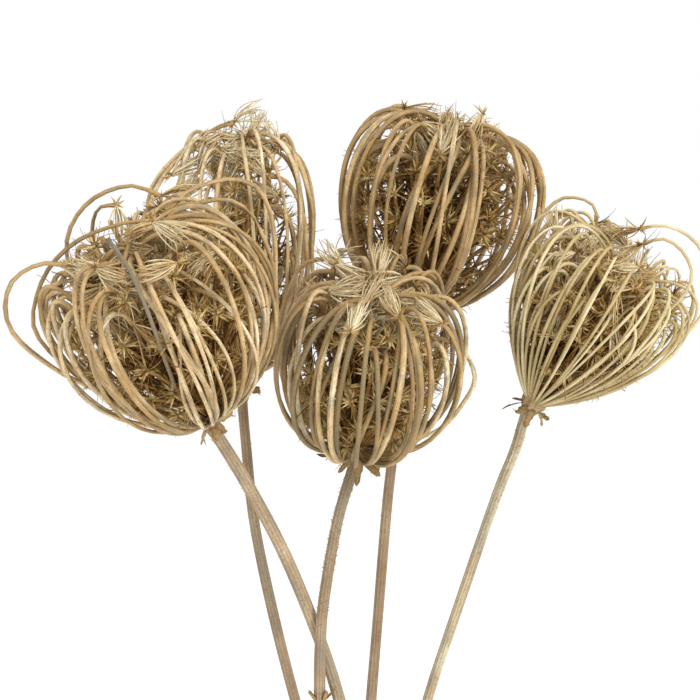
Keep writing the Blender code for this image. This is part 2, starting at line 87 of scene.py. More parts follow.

# %% [markdown]
# ## The bunch in numbers
#
# These are the numbers that the solids were made from, in millimetres and degrees: the points that each stem
# passes, the base of its head, where the receptacle ends, and the crown. Belly is the cage's radius, spread is
# how far a ray leans out at its root, dive is how steeply it comes down on the crown, gather is how far from the
# middle it ends, and curl is how strongly it hooks.
#
# What follows is for the fine surface only. Tones run from 0, which is grey and brown, to 1, which is bleached.
#
# - rays, stars, tufts and bristles are counted. thick is a ray's radius, and girth the stem's share of the usual
#   radius. bracts are the lengths of the shortest and the longest one.
# - short is how much lower the lowest rays end, and ragged how much of that the other rays get. low_side is an
#   azimuth and a share: on that side every ray ends low. On the far_side, rays reach over the crown.
# - sway, in radians, is how far rays turn round the head on their way up. upright is how far the tassels of the
#   crown rise.
# - bleached is the range of the rays' tones, stalk the stem's tone, and pale is added in the crown and filling.
# - fists are large tassels, each given as a place and a direction.
# - strays are single rays that left the cage, each with a tone and a route. A snapped one has no umbellet.

# %% The flowers
FLOWERS = {
    "front_left": {
        "stem": (
            (22, -3, 0), (16, -6.5, 80), (10.3, -8.2, 135), (8.2, -9, 150), (3.6, -8.6, 178),
            (-3.6, -7.8, 206), (-10.1, -6.3, 226), (-21.9, -10, 256.5), (-33.5, -27, 283.5),
        ),
        "base": (-44.9, -37, 306.3), "crown": (-64.5, -67, 360.5),
        "belly": 38.5, "spread": 65, "dive": 36, "gather": 20, "curl": 1.05,
        "rays": 64, "stars": 96, "tufts": 10, "bristles": 90, "thick": 0.72, "girth": 0.95, "bracts": (3.5, 6.5),
        "short": 0.36, "ragged": 0.5, "low_side": (140, 0.22), "far_side": (20, 1.0), "sway": 0.34, "upright": 0.1,
        "bleached": (0.3, 0.85), "stalk": 0.5, "pale": 0.05,
        "fists": (
            ((-57, -82, 369), (13, -8, -6)), ((-39, -74, 360), (-8, -12, -5)), ((-73, -86, 356), (11, -8, -5)),
            ((-49, -94, 358), (-10, -4, -4)),
        ),
        "strays": (
            {"tone": 0.0, "snapped": True, "route": (
                (-46, -42, 306), (-51, -62, 315), (-53, -80, 326), (-55, -91, 336), (-58, -98, 347),
                (-62, -101, 357), (-68, -99, 365),
            )},
            {"tone": 0.5, "route": (
                (-48, -40, 305), (-67, -45, 310), (-80, -50, 317), (-90, -54, 323), (-101, -58, 333),
                (-104, -60, 342), (-101, -62, 351), (-92, -64, 356), (-83, -64, 355),
            )},
            {"tone": 0.2, "route": (
                (-48, -40, 305), (-62, -43, 308), (-76, -47, 314), (-89, -51, 325), (-96, -55, 335),
                (-95, -58, 345), (-90, -61, 355), (-81, -64, 363), (-68, -67, 368), (-58, -69, 369),
            )},
            {"tone": 0.4, "route": (
                (-47, -36, 306), (-64, -28, 313), (-80, -26, 329), (-88, -30, 349), (-88, -38, 363),
                (-80, -46, 374), (-67, -54, 379), (-57, -58, 376),
            )},
            {"tone": 0.3, "route": (
                (-47, -36, 306), (-64, -30, 315), (-76, -30, 336), (-80, -34, 355), (-80, -40, 366),
                (-77, -46, 372), (-71, -52, 373),
            )},
            {"tone": 0.55, "route": (
                (-43, -36, 307), (-35, -36, 312), (-28, -38, 323), (-23, -42, 335), (-23, -46, 350), (-23, -48, 362),
                (-25, -50, 373), (-29, -52, 379), (-35, -54, 381), (-42, -57, 380), (-49, -60, 377), (-55, -64, 371),
            )},
            {"tone": 0.35, "route": (
                (-43, -38, 307), (-36, -40, 312), (-28, -44, 323), (-24, -50, 336), (-23, -54, 352), (-26, -57, 363),
                (-30, -59, 371), (-37, -61, 375), (-45, -64, 374), (-53, -67, 372), (-58, -70, 368),
            )},
        ),
    },
    "back_left": {
        "stem": (
            (20.5, 10.4, 0), (9, 12, 80), (-1.4, 12.8, 135), (-4.6, 12.6, 150), (-11.8, 13, 176),
            (-19, 15, 199), (-27, 19, 230), (-33.4, 24, 260), (-36.2, 28, 285),
        ),
        "base": (-37.7, 30, 308.9), "crown": (-36.8, 27, 394.3),
        "belly": 24, "spread": 44, "dive": 25, "gather": 11.5, "curl": 1,
        "rays": 42, "stars": 44, "tufts": 3, "bristles": 40, "thick": 0.74, "girth": 0.84, "bracts": (3.5, 6.5),
        "short": 0.55, "ragged": 0.9, "sway": 0.3, "upright": 0.15,
        "bleached": (0.45, 0.9), "stalk": 0.38, "pale": 0.3,
        "fists": (
            ((-29, 30, 397), (-4, -4, -7)), ((-61, 20, 381), (9, 2, 6)), ((-37, 30, 391), (4, 2, 7)),
            ((-36, 24, 393), (-6, -3, -6)), ((-46, 22, 390), (8, -4, -4)), ((-28, 18, 388), (-8, -6, -1)),
            ((-52, 22, 382), (5, -2, 8)), ((-34, 18, 382), (-7, -3, 5)), ((-58, 16, 371), (5, 2, 9)),
            ((-24, 18, 374), (-9, 0, 4)), ((-44, 16, 376), (6, 0, 9)),
        ),
        "strays": (
            {"tone": 0.6, "route": (
                (-36, 31, 310), (-23, 31, 318), (-14, 28, 337), (-13, 25, 357), (-13, 22, 370), (-16, 22, 381),
                (-19, 23, 387), (-24, 24, 391),
            )},
            {"tone": 0.5, "route": (
                (-36, 29, 310), (-22, 24, 320), (-15, 20, 340), (-15, 18, 359), (-16, 16, 368), (-19, 14, 376),
                (-23, 14, 380), (-28, 14, 381),
            )},
            {"tone": 0.7, "route": (
                (-39, 31, 310), (-56, 30, 322), (-66, 28, 342), (-69, 26, 360), (-69, 26, 374), (-63, 26, 384),
                (-54, 28, 392), (-46, 28, 397), (-40, 28, 399),
            )},
            {"tone": 0.9, "route": (
                (-39, 29, 310), (-55, 26, 321), (-65, 22, 342), (-68, 20, 360), (-67, 20, 374), (-60, 21, 385),
                (-53, 22, 390),
            )},
        ),
    },
    "centre": {
        "stem": (
            (-12, 12, 0), (-12, 2, 80), (-10.9, -6.5, 135), (-10.6, -8.2, 150), (-10.3, -9.6, 178),
            (-10.2, -11, 207), (-9.9, -11.4, 225.5), (-8.7, -9, 240.8), (-4.2, -2.4, 266),
        ),
        "base": (2.4, 1, 290.8), "crown": (8.9, -27, 344),
        "belly": 31.5, "spread": 84, "dive": 32, "gather": 14, "curl": 1,
        "rays": 54, "stars": 88, "tufts": 14, "bristles": 330, "thick": 0.86, "girth": 0.87, "bracts": (7, 11),
        "short": 0.24, "ragged": 0.5, "sway": 0.2, "upright": 0.3,
        "bleached": (0.0, 0.85), "stalk": 0.25, "pale": 0.2,
        "fists": (
            ((-5, -24, 353), (11, -10, -5)), ((0, -56, 335), (6, 10, 8)), ((29, -41, 336), (-13, 8, 8)),
            ((9, -22, 348), (1, 5, 12)), ((17, -18, 349), (-9, -8, -1)), ((-7, -36, 345), (12, -8, 2)),
            ((15, -50, 339), (-3, 12, 8)), ((-2, -18, 350), (-8, 5, 8)),
        ),
        "strays": (
            {"tone": 0.7, "route": (
                (4, 0, 292), (17, -4, 293), (30, -8, 298), (38, -10, 308), (41, -11, 315), (38, -12, 323),
                (31, -13, 328), (25, -14, 329),
            )},
            {"tone": 0.4, "route": (
                (1, 4, 292), (-14, 8, 297), (-22, 12, 312), (-24, 12, 329), (-20, 8, 344), (-15, 4, 352),
                (-5, -2, 354),
            )},
            {"tone": 0.8, "route": (
                (3, 4, 292), (19, 14, 305), (27, 16, 325), (26, 10, 342), (23, 4, 350), (18, -4, 351),
            )},
        ),
    },
    "back_right": {
        "stem": (
            (-3, -15, 0), (0.5, 0, 80), (3.7, 10.3, 135), (4.4, 12.6, 150), (5.6, 14, 178),
            (7.3, 16, 199), (9.3, 19, 223), (13.3, 28, 269), (17.6, 34.5, 302),
        ),
        "base": (22, 38, 333.5), "crown": (36.5, 38, 397.8),
        "belly": 35.5, "spread": 74, "dive": 18, "gather": 16, "curl": 1,
        "rays": 52, "stars": 106, "tufts": 14, "bristles": 60, "thick": 0.88, "girth": 0.84, "bracts": (3.5, 6.5),
        "short": 0.28, "ragged": 0.5, "sway": 0.24, "upright": 0.2,
        "bleached": (0.15, 0.65), "stalk": 0.3, "pale": -0.05,
        "fists": (
            ((39, 30, 398), (-8, -4, -8)), ((24, 26, 399), (9, -4, -6)), ((46, 34, 402), (-5, -4, -9)),
            ((19, 40, 404), (9, -4, -2)), ((30, 12, 388), (4, 3, 10)),
        ),
        "strays": (),
    },
    "right": {
        "stem": (
            (-20, -9, 0), (-4, -4.5, 80), (9.4, 1.2, 135), (13.2, 2.3, 150), (20.3, 4.2, 178),
            (27.3, 5, 205), (36.6, 5, 234), (49.3, 5.5, 272), (55.5, 5.5, 288),
        ),
        "base": (62.3, 5, 305.8), "crown": (88.7, -6, 351.7),
        "belly": 33, "spread": 46, "dive": 36, "gather": 18, "curl": 0.93,
        "rays": 84, "stars": 100, "tufts": 18, "bristles": 40, "thick": 0.56, "girth": 0.8, "bracts": (4, 8),
        "short": 0.5, "ragged": 0.7, "sway": 0.16, "upright": 0.3,
        "bleached": (0.3, 1.0), "stalk": 0.84, "pale": 0.0,
        "fists": (
            ((82, -4, 362), (-7, -4, -6)), ((92, 0, 357), (-6, -4, 6)), ((93, -20, 352), (-8, -4, 0)),
            ((78, 6, 360), (8, -6, 2)),
        ),
        "strays": (
            {"tone": 0.5, "route": (
                (61, 7, 307), (59, 17, 322), (62, 22, 338), (63, 22, 355), (66, 22, 367), (72, 21, 373),
                (79, 18, 373), (83, 15, 370), (83, 12, 365),
            )},
            {"tone": 0.85, "route": (
                (65, 4, 306), (86, 1, 314), (102, -1, 321), (113, -2, 330), (118, -2, 339), (119, -3, 349),
                (115, -4, 358), (109, -5, 363), (102, -6, 365), (95, -7, 364),
            )},
            {"tone": 0.7, "route": (
                (65, 2, 306), (79, -6, 317), (94, -14, 329), (103, -18, 338), (108, -20, 344), (110, -20, 350),
                (108, -18, 356), (104, -16, 360), (100, -14, 361), (95, -12, 359),
            )},
        ),
    },
}
VASE_SHAPE = ((0, 31), (40, 38), (135, 18.5), (150, 18.5))  # height and outer radius, mm
print("flowers:", ", ".join(FLOWERS))

# %% [markdown]
# ## Strands
#
# A strand is a tube whose section changes along a path. A Blender curve with a bevel would draw one too, but
# thousands of curves are slow to turn into meshes and none carries a tone of its own, so the rings are worked
# out here. Each ring needs two directions square to the path. The first is a chosen side direction with its
# part along the path taken out, and the second is the cross product of the path's direction with the first.
# All the rings of all the strands come out in one go, as arrays of strand, step, corner and coordinate.


# %% Vectors and rings
def unit(vectors):
    """Each vector divided by its length."""
    return vectors / np.maximum(np.linalg.norm(vectors, axis=-1, keepdims=True), 1e-9)


def tube_rings(paths, radii, sides, across=None, section=1.0, flatness=1.0):
    """Corner k of a ring is centre + radius * (cos(a) * side + flatness * sin(a) * rise), with a = 2 pi k / sides.
    Without a direction across, a strand takes the one square to the plane that it bends in, plus a trace of
    another for a straight strand, which has no such plane."""
    along = unit(np.gradient(paths, axis=1))
    if across is None:
        across = np.cross(along[:, 0], along[:, -1]) + 0.002 * np.cross(along[:, 0], (0.31, 0.52, 0.79))
    across = np.asarray(across)[:, None]
    side = unit(across - along * (across * along).sum(-1, keepdims=True))
    rise = np.cross(along, side)
    angle = np.arange(sides) * math.tau / sides
    ring = np.cos(angle)[:, None] * side[:, :, None] + flatness * np.sin(angle)[:, None] * rise[:, :, None]
    reach = (radii[:, :, None] * section)[..., None]
    return paths[:, :, None] + reach * ring


straight = np.array([[(0, 0, 0), (0, 0, 1), (0, 0, 2.0)]])
print("strands, steps, corners and coordinates:", tube_rings(straight, np.ones((1, 3)), 6).shape)


# %% Faces and UVs
def sheet_faces(count, steps, sides):
    """Corner numbers of the quads between neighbouring rings, and of the triangles that close both ends."""
    number = np.arange(count * steps * sides).reshape(count, steps, sides)
    onward = np.roll(number, -1, axis=2)
    quads = np.stack([number[:, :-1], onward[:, :-1], onward[:, 1:], number[:, 1:]], axis=-1).reshape(-1, 4)
    poles = count * steps * sides + np.arange(count * 2).reshape(count, 2, 1)
    first = np.stack([poles[:, 0] + 0 * number[:, 0], onward[:, 0], number[:, 0]], axis=-1)
    last = np.stack([poles[:, 1] + 0 * number[:, -1], number[:, -1], onward[:, -1]], axis=-1)
    return quads, np.concatenate([first, last]).reshape(-1, 3)


def strand_uvs(count, steps, sides):
    """u runs from 0 to 1 round each strand and v from 0 to 1 along it, for each corner of each face."""
    u = np.arange(sides) / sides
    v = np.arange(steps) / (steps - 1)
    corner = np.zeros((count, steps - 1, sides, 4, 2))
    corner[..., 0] = u[:, None] + np.array([0, 1, 1, 0]) / sides
    corner[..., 1] = np.stack([v[:-1], v[:-1], v[1:], v[1:]], axis=-1)[:, None]
    fan = np.zeros((2, count, sides, 3, 2))
    fan[..., 0] = u[:, None] + np.array([0.5, 0, 1]) / sides
    fan[1, ..., 1] = 1
    return np.concatenate([corner.reshape(-1, 2), fan.reshape(-1, 2)])


print("quads and triangles of that strand:", [len(faces) for faces in sheet_faces(1, 3, 6)])


# %% Bundles of strands
def bundle(paths, radii, sides, tone=0.5, across=None, section=1.0, flatness=1.0):
    """A bundle of strands as arrays: corners, quads, triangles, UVs and tones."""
    count, steps = paths.shape[:2]
    rings = tube_rings(paths, np.broadcast_to(radii, (count, steps)), sides, across, section, flatness)
    poles = paths[:, [0, -1]].reshape(-1, 3)
    quads, triangles = sheet_faces(count, steps, sides)
    tones = np.broadcast_to(tone, (count,))
    spread = np.concatenate([np.repeat(tones, steps * sides), np.repeat(tones, 2)])
    return np.concatenate([rings.reshape(-1, 3), poles]), quads, triangles, strand_uvs(count, steps, sides), spread


def joined(bundles):
    """Several bundles as one, each one's corner numbers moved past those before it."""
    starts = np.cumsum([0] + [len(made[0]) for made in bundles])
    quads = np.concatenate([made[1] + start for made, start in zip(bundles, starts)])
    triangles = np.concatenate([made[2] + start for made, start in zip(bundles, starts)])
    quad_uvs = [made[3][:made[1].size] for made in bundles]
    fan_uvs = [made[3][made[1].size:] for made in bundles]
    uvs = np.concatenate(quad_uvs + fan_uvs)
    corners = np.concatenate([made[0] for made in bundles])
    tone = np.concatenate([made[4] for made in bundles])
    return corners, quads, triangles, uvs, tone


print("corners of a bundle of that one strand:", len(bundle(straight, 1.0, 6)[0]))


# %% Meshes and pieces
def make_mesh(name, corners, quads, triangles, uvs, tone):
    """A smooth mesh in metres from arrays in mm, with a UV map and a tone for each corner."""
    mesh = bpy.data.meshes.new(name)
    loops = np.concatenate([quads.ravel(), triangles.ravel()])
    sizes = np.concatenate([np.full(len(quads), 4), np.full(len(triangles), 3)])
    mesh.vertices.add(len(corners))
    mesh.vertices.foreach_set("co", (corners * MM).astype(np.float32).ravel())
    mesh.loops.add(len(loops))
    mesh.loops.foreach_set("vertex_index", loops.astype(np.int32))
    mesh.polygons.add(len(sizes))
    mesh.polygons.foreach_set("loop_start", np.concatenate([[0], np.cumsum(sizes)[:-1]]).astype(np.int32))
    mesh.uv_layers.new(name="strand").uv.foreach_set("vector", uvs.astype(np.float32).ravel())
    mesh.attributes.new("tone", "FLOAT", "POINT").data.foreach_set("value", tone.astype(np.float32))
    mesh.update(calc_edges=True)
    mesh.validate()
    mesh.shade_smooth()
    return mesh


def make_piece(name, bundles, finish, stands_for=()):
    """Puts bundles into the scene as one piece at the origin, on the object's one body, in place of CAD nodes."""
    mesh = make_mesh(name, *joined(bundles))
    mesh.materials.append(finish)
    piece = bpy.data.objects.new(name, mesh)
    bpy.context.scene.collection.objects.link(piece)
    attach(piece, "root")
    if stands_for:
        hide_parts(*stands_for)
    print(f"{name}: {sum(len(face.vertices) - 2 for face in mesh.polygons)} triangles")

# %% [markdown]
# ## Heads
#
# A ray is a cubic Bezier curve in its head's own frame: out of the receptacle, round the belly, over the top
# and in at the crown. Plants are regular but not exact, so steps of irrational numbers spread the rays'
# differences evenly, and the same ones come out each time. The stems and the rays listed one by one pass given
# points instead, so they are Catmull-Rom curves.

# %% Curves
JITTER = {"azimuth": 0.45, "spread": 7.0, "dive": 12.0, "belly": 0.07, "gather": 0.6}
EVEN_STEPS = {"azimuth": 0.618034, "spread": 0.754878, "dive": 0.569840, "belly": 0.819173, "gather": 0.362716}
BULGE = 4 / 3  # a Bezier handle this many radii long makes a half circle
UP = np.array([0.0, 0.0, 1.0])


def vary(numbers, kind):
    """Values from -1 to 1 spread evenly: twice the fraction of number times an irrational step, less one."""
    return 2 * ((numbers + 1) * EVEN_STEPS[kind] % 1) - 1


def through(points, after, steps):
    """A Catmull-Rom curve: (2b + (c-a) t + (2a-5b+4c-d) t^2 + (3b-a-3c+d) t^3) / 2 between points b and c."""
    points = np.asarray(points, dtype=float)
    chain = np.concatenate([[2 * points[0] - points[1]], points, [after]])
    a, b, c, d = (chain[place:len(chain) - 3 + place, None] for place in range(4))
    t = (np.arange(steps) / steps)[:, None]
    curve = (2 * b + (c - a) * t + (2 * a - 5 * b + 4 * c - d) * t ** 2 + (3 * b - a - 3 * c + d) * t ** 3) / 2
    return np.concatenate([curve.reshape(-1, 3), points[-1:]])


def evenly(curve, count):
    """Points at equal distances along a curve, read off by interpolation over its running length."""
    run = np.concatenate([[0], np.cumsum(np.linalg.norm(np.diff(curve, axis=0), axis=1))])
    return np.stack([np.interp(np.linspace(0, run[-1], count), run, curve[:, axis]) for axis in range(3)], axis=-1)


print("five even points along a corner:", evenly(through([(0, 0, 0), (4, 0, 0)], (4, 4, 0), 4), 5).round(1).tolist())


# %% A head's own frame
def outward(azimuths):
    """Level unit vectors at these azimuths."""
    return np.stack([np.cos(azimuths), np.sin(azimuths), np.zeros_like(azimuths)], axis=-1)


def head_turn(flower):
    """The rows of this matrix are the head's own axes, its third one running from receptacle to crown."""
    axis = Vector(flower["crown"]) - Vector(flower["base"])
    return np.array(Vector((0, 0, 1)).rotation_difference(axis).to_matrix()).T


def in_world(flower, points):
    """Points of a head's frame carried to the bunch's: base + point * turn."""
    return np.asarray(flower["base"]) + points @ head_turn(flower)


def in_head(flower, points):
    """The way back: (point - base) * the turn's transpose."""
    return (points - np.asarray(flower["base"])) @ head_turn(flower).T


def head_height(flower):
    """How far the crown is from the base, in mm."""
    return math.dist(flower["base"], flower["crown"])


print("head heights, mm:", {name: round(head_height(flower), 1) for name, flower in FLOWERS.items()})


# %% Curves of the cage
ROOT_RADIUS = 3.4  # mm from the axis, where rays and bracts leave the receptacle


def cage_handles(flower, azimuths, differ, width=1.0, rise=1.0, gather=1.0, twist=0.0):
    """Bezier points of rays: root, root + bulge, crown + curl, crown + gather."""
    out = outward(azimuths)
    root = out * ROOT_RADIUS
    over = outward(azimuths + twist)
    spread = np.radians(flower["spread"] + differ["spread"])[:, None]
    dive = np.radians(flower["dive"] + differ["dive"])[:, None]
    belly = (BULGE * flower["belly"] * width * (1 - JITTER["belly"] + differ["belly"]))[:, None]
    crown = UP * head_height(flower) * np.broadcast_to(rise, len(azimuths))[:, None]
    bulge = (UP * np.cos(spread) + out * np.sin(spread)) * belly / np.maximum(np.sin(spread), 0.5)
    curl = (over * np.cos(dive) + UP * np.sin(dive)) * belly * flower["curl"]
    end = over * (flower["gather"] * np.broadcast_to(gather, len(azimuths)))[:, None]
    return np.stack([root, root + bulge, crown + curl, crown + end], axis=1)


def bezier(handles, t):
    """(1-t)^3 a + 3 (1-t)^2 t b + 3 (1-t) t^2 c + t^3 d, for each row of handles at its row of shares t."""
    t = np.asarray(t)[..., None]
    a, b, c, d = (handles[:, None, number] for number in range(4))
    return (1 - t) ** 3 * a + 3 * (1 - t) ** 2 * t * b + 3 * (1 - t) * t ** 2 * c + t ** 3 * d


half_circle = bezier(np.array([[(0, 0, 0), (0, 0, BULGE), (2, 0, BULGE), (2, 0, 0)]]), [[0.5]])
print("a handle of 4/3 reaches this far out, in radii:", half_circle[0, 0, 2])

# %% [markdown]
# ## Sprays
#
# An umbellet is a spray: many fine stalks from one point. Hair particles could grow them, but are hard to aim.
# Here each stalk's direction turns steadily as it grows, from leaning away from the spray's axis to leaning
# back across it, so that the spray closes like a fist. A spray of short straight stalks that hardly turn is a
# star.

# %% Sprays
def spray_paths(chance, roots, axes, count, length, lean, turn, steps, wander=0.0, sweep=0.0):
    """Sums of steps along cos(tilt) * axis + sin(tilt) * side, where tilt falls from lean to lean - turn. Length,
    lean and turn are ranges, in mm and degrees. Wander bends each stalk its own way and sweep bends the stalks of
    a spray together."""
    many = len(roots) * count
    axes = np.repeat(unit(axes), count, axis=0)
    level = unit(np.cross(axes, chance.normal(size=(many, 3))))
    start = np.radians(chance.uniform(*lean, many))[:, None]
    drop = np.radians(chance.uniform(*turn, many))[:, None]
    tilt = start - drop * np.linspace(0, 1, steps - 1)[None]
    bend = wander * chance.normal(size=(many, 3))
    bend = bend + sweep * np.repeat(chance.normal(size=(len(roots), 3)), count, axis=0)
    twist = bend[:, None] * np.linspace(0, 1, steps - 1)[None, :, None]
    heading = np.cos(tilt)[..., None] * axes[:, None] + np.sin(tilt)[..., None] * level[:, None] + twist
    stride = unit(heading) * (chance.uniform(*length, many) / (steps - 1))[:, None, None]
    start_points = np.repeat(roots, count, axis=0)[:, None]
    return np.concatenate([start_points, start_points + np.cumsum(stride, axis=1)], axis=1)


trial = spray_paths(
    np.random.default_rng(0), np.zeros((1, 3)), UP[None], 3, length=(9, 9), lean=(20, 30), turn=(30, 40), steps=4
)
print("spray, stalks x points x coordinates:", trial.shape)

# %% [markdown]
# ## Finishes
#
# Everything here is dead plant, so nothing shines much. What the eye reads is colour: each strand has its own
# tone between ochre, straw and grey, darker freckles of mould and dirt lie on top, and fine ribs run along it with
# painted shade in the grooves between them.
# A painted texture would have to be fitted to thousands of strands, so noise makes all the marks instead.
# A tone attribute gives each strand its place in the colour range, and the UV map's v tells root from tip.


# %% Colour and nodes
def linear(colour):
    """A hex sRGB colour as linear red, green, blue and alpha."""
    channels = [int(colour[place:place + 2], 16) / 255 for place in (1, 3, 5)]
    return (*[c / 12.92 if c <= 0.04045 else ((c + 0.055) / 1.055) ** 2.4 for c in channels], 1.0)


def add(tree, kind, values=(), links=(), stops=(), **settings):
    """Adds a shader node: a value or a link for each named or numbered socket, a ramp's stops, and settings."""
    made = tree.nodes.new("ShaderNode" + kind)
    for setting, value in settings.items():
        setattr(made, setting, value)
    for socket, value in dict(values).items():
        made.inputs[socket].default_value = value
    for socket, source in dict(links).items():
        tree.links.new(source, made.inputs[socket])
    for number, (place, colour) in enumerate(stops):
        stop = made.color_ramp.elements[number] if number < 2 else made.color_ramp.elements.new(place)
        stop.position = place
        stop.color = linear(colour)
    return made


def new_finish(name):
    """A material with an empty node tree and its output."""
    finish = bpy.data.materials.new(name)
    finish.use_nodes = True
    finish.node_tree.nodes.clear()
    return finish, finish.node_tree, finish.node_tree.nodes.new("ShaderNodeOutputMaterial")


print("straw in linear light:", [round(channel, 3) for channel in linear("#c4a372")])

# %% [markdown]
# ### Dry plant
#
# One function makes every dry plant finish, from real measures. It lays four things over the strand's own tone:
# the colour of its tip, long streaks of mould, freckles, and painted shade in the grooves between the ribs. Some
# sockets have only a number. On a Mix node 0 is the share, 2 and 3 are plain values, and 6 and 7 are colours. On
# a Map Range node 0 is the value, 1 and 2 the range that it comes from and 3 and 4 the range that it goes to, and
# on a Math node 0, 1 and 2 are its numbers in order.

# %% Dry plant
BLOTCH_SIZE = 12 * MM  # sun and rain fade a plant in patches about this wide
BLOTCH_SWING = 1.3  # how far a patch moves a strand along its range of tones
STREAKS = (3.0, 11.0, 1.0)  # cells of noise round a strand and along it
RIB_DEPTH = 0.25 * MM


def overlay(tree, share, under, colour):
    """Mixes a colour over another by a share: (1 - share) * under + share * colour."""
    links = {0: share, 6: under}
    return add(tree, "Mix", {7: linear(colour)}, links, data_type="RGBA").outputs[2]


def plant_finish(
    name, tones, tip, tip_share, mould, freckle_and_groove_shade, mould_share=0.3, freckle_mm=0.9, freckle_share=0.3,
    ribs=2, roughness=0.6, bump=0.1
):
    """Dry plant: tones across the strands, another colour at their tips, streaks of mould, freckles, and ribs
    with painted shade in their grooves.
    """
    finish, tree, output = new_finish(name)
    place = add(tree, "TexCoord")
    on_object = {"Vector": place.outputs["Object"]}
    tone = add(tree, "Attribute", attribute_name="tone").outputs["Fac"]
    along = add(tree, "SeparateXYZ", links={0: place.outputs["UV"]}).outputs["Y"]

    # The strand's own tone, moved up or down by half a swing from patch to patch.
    blotch = add(tree, "TexNoise", {"Scale": 1 / BLOTCH_SIZE, "Detail": 3.0}, on_object).outputs["Fac"]
    mixed = add(tree, "Math", {1: BLOTCH_SWING}, {0: blotch, 2: tone}, operation="MULTIPLY_ADD").outputs[0]
    shifted = add(tree, "Math", {1: BLOTCH_SWING / 2}, {0: mixed}, operation="SUBTRACT").outputs[0]
    stops = [(number / (len(tones) - 1), colour) for number, colour in enumerate(tones)]
    stops = [stops[0], stops[-1], *stops[1:-1]]
    body = add(tree, "ValToRGB", links={"Fac": shifted}, stops=stops).outputs["Color"]
    end = add(tree, "MapRange", {1: 1 - tip_share, 2: 1.0}, {0: along}).outputs[0]
    tipped = overlay(tree, end, body, tip)

    # Streaks are noise stretched along the strand. Its fourth coordinate is the tone, so no two strands match.
    stretch = add(tree, "Mapping", {"Scale": STREAKS}, {"Vector": place.outputs["UV"]}).outputs[0]
    own = add(tree, "Math", {1: 40.0}, {0: tone}, operation="MULTIPLY").outputs[0]
    links = {"Vector": stretch, "W": own}
    noise = {"Scale": 1.0, "Detail": 3.0}
    streak = add(tree, "TexNoise", noise, links, noise_dimensions="4D").outputs["Fac"]
    faded = add(tree, "MapRange", {1: 0.48, 2: 0.62, 4: mould_share}, {0: streak}).outputs[0]
    streaked = overlay(tree, faded, tipped, mould)

    # Freckles are the peaks of a fine noise on the object's own coordinates.
    fine = {"Scale": 1 / (freckle_mm * MM), "Detail": 4.0, "Roughness": 0.7}
    grain = add(tree, "TexNoise", fine, on_object).outputs["Fac"]
    spot = add(tree, "MapRange", {1: 0.5, 2: 0.66, 4: freckle_share}, {0: grain}).outputs[0]
    spotted = overlay(tree, spot, streaked, freckle_and_groove_shade)

    # A wave's period is 2 pi / 20 of a unit, so this scale puts a whole number of ribs round the strand.
    wave = {"Scale": ribs * math.tau / 20, "Distortion": 0.0, "Phase Offset": math.pi}
    rib = add(tree, "TexWave", wave, {"Vector": place.outputs["UV"]}).outputs["Fac"]
    # Where the wave is low, in the grooves between the ribs, the freckle colour is mixed in as painted shade.
    groove_shade = add(tree, "MapRange", {1: 0.4, 2: 0.0, 4: 0.36}, {0: rib}).outputs[0]
    groove_shaded = overlay(tree, groove_shade, spotted, freckle_and_groove_shade)
    relief = add(tree, "Mix", {0: 0.35}, {2: rib, 3: grain}, data_type="FLOAT").outputs[0]
    raised = add(tree, "Bump", {"Strength": bump, "Distance": RIB_DEPTH}, {"Height": relief}).outputs[0]

    dull = {"Roughness": roughness, "Specular IOR Level": 0.3}
    shader = add(tree, "BsdfPrincipled", dull, {"Base Color": groove_shaded, "Normal": raised})
    tree.links.new(shader.outputs[0], output.inputs["Surface"])
    return finish


# %% Finishes of rays and stems
# Woody ray, weathered: grey where mould got to it, then ochre, and pale straw where the sun bleached it.
ray_straw = plant_finish(
    "dried_ray_straw", tones=("#897753", "#a78856", "#c4a372", "#dbc193", "#eedebb"), tip="#b7945f", tip_share=0.25,
    mould="#7f7761", freckle_and_groove_shade="#6a4d28", mould_share=0.65, freckle_share=0.45, ribs=9, bump=0.3,
)
# The same ray, cut later and dried in the dark: cream with a little of its green left, and hardly any mould.
ray_cream = plant_finish(
    "dried_ray_cream", tones=("#917b4e", "#ab9463", "#c0ab7a", "#d0be8f", "#e5d6ab"), tip="#bf9f66", tip_share=0.12,
    mould="#9d9068", freckle_and_groove_shade="#7d6238", mould_share=0.4, freckle_share=0.25, ribs=9, bump=0.25,
)
# A ray that snapped and lost its umbellet: it died from the broken end down, and the weather turned that end grey.
ray_grey = plant_finish(
    "grey_snapped_ray", tones=("#97835f", "#ac966c", "#c1a87c"), tip="#6f6757", tip_share=0.8,
    mould="#8b826c", freckle_and_groove_shade="#54493a", mould_share=0.5, freckle_share=0.35, ribs=9, roughness=0.7, bump=0.3,
)
# Stem: thicker, greyer and ribbed, with reddish patches, because it is the oldest and stood outside the longest.
stem_stalk = plant_finish(
    "weathered_stem", tones=("#846a4e", "#9b8468", "#b29c7c", "#c9bf9f"), tip="#b08d58", tip_share=0.1,
    mould="#8a8270", freckle_and_groove_shade="#5d4c3a", mould_share=0.65, freckle_mm=0.7, freckle_share=0.6,
    ribs=9, roughness=0.7, bump=0.5,
)
print("finishes of rays and stems:", len(bpy.data.materials))

# %% Finishes of crown and filling
# Seed stalks of the crown: hair-thin and sun-bleached, browner at their ends.
bleached_hair = plant_finish(
    "bleached_seed_stalk", tones=("#8c6a3c", "#bd9b62", "#dcc392", "#f2e4bd"), tip="#b89863", tip_share=0.25,
    mould="#8a7350", freckle_and_groove_shade="#5f4a2c", freckle_mm=2.0, freckle_share=0.25, ribs=3,
)
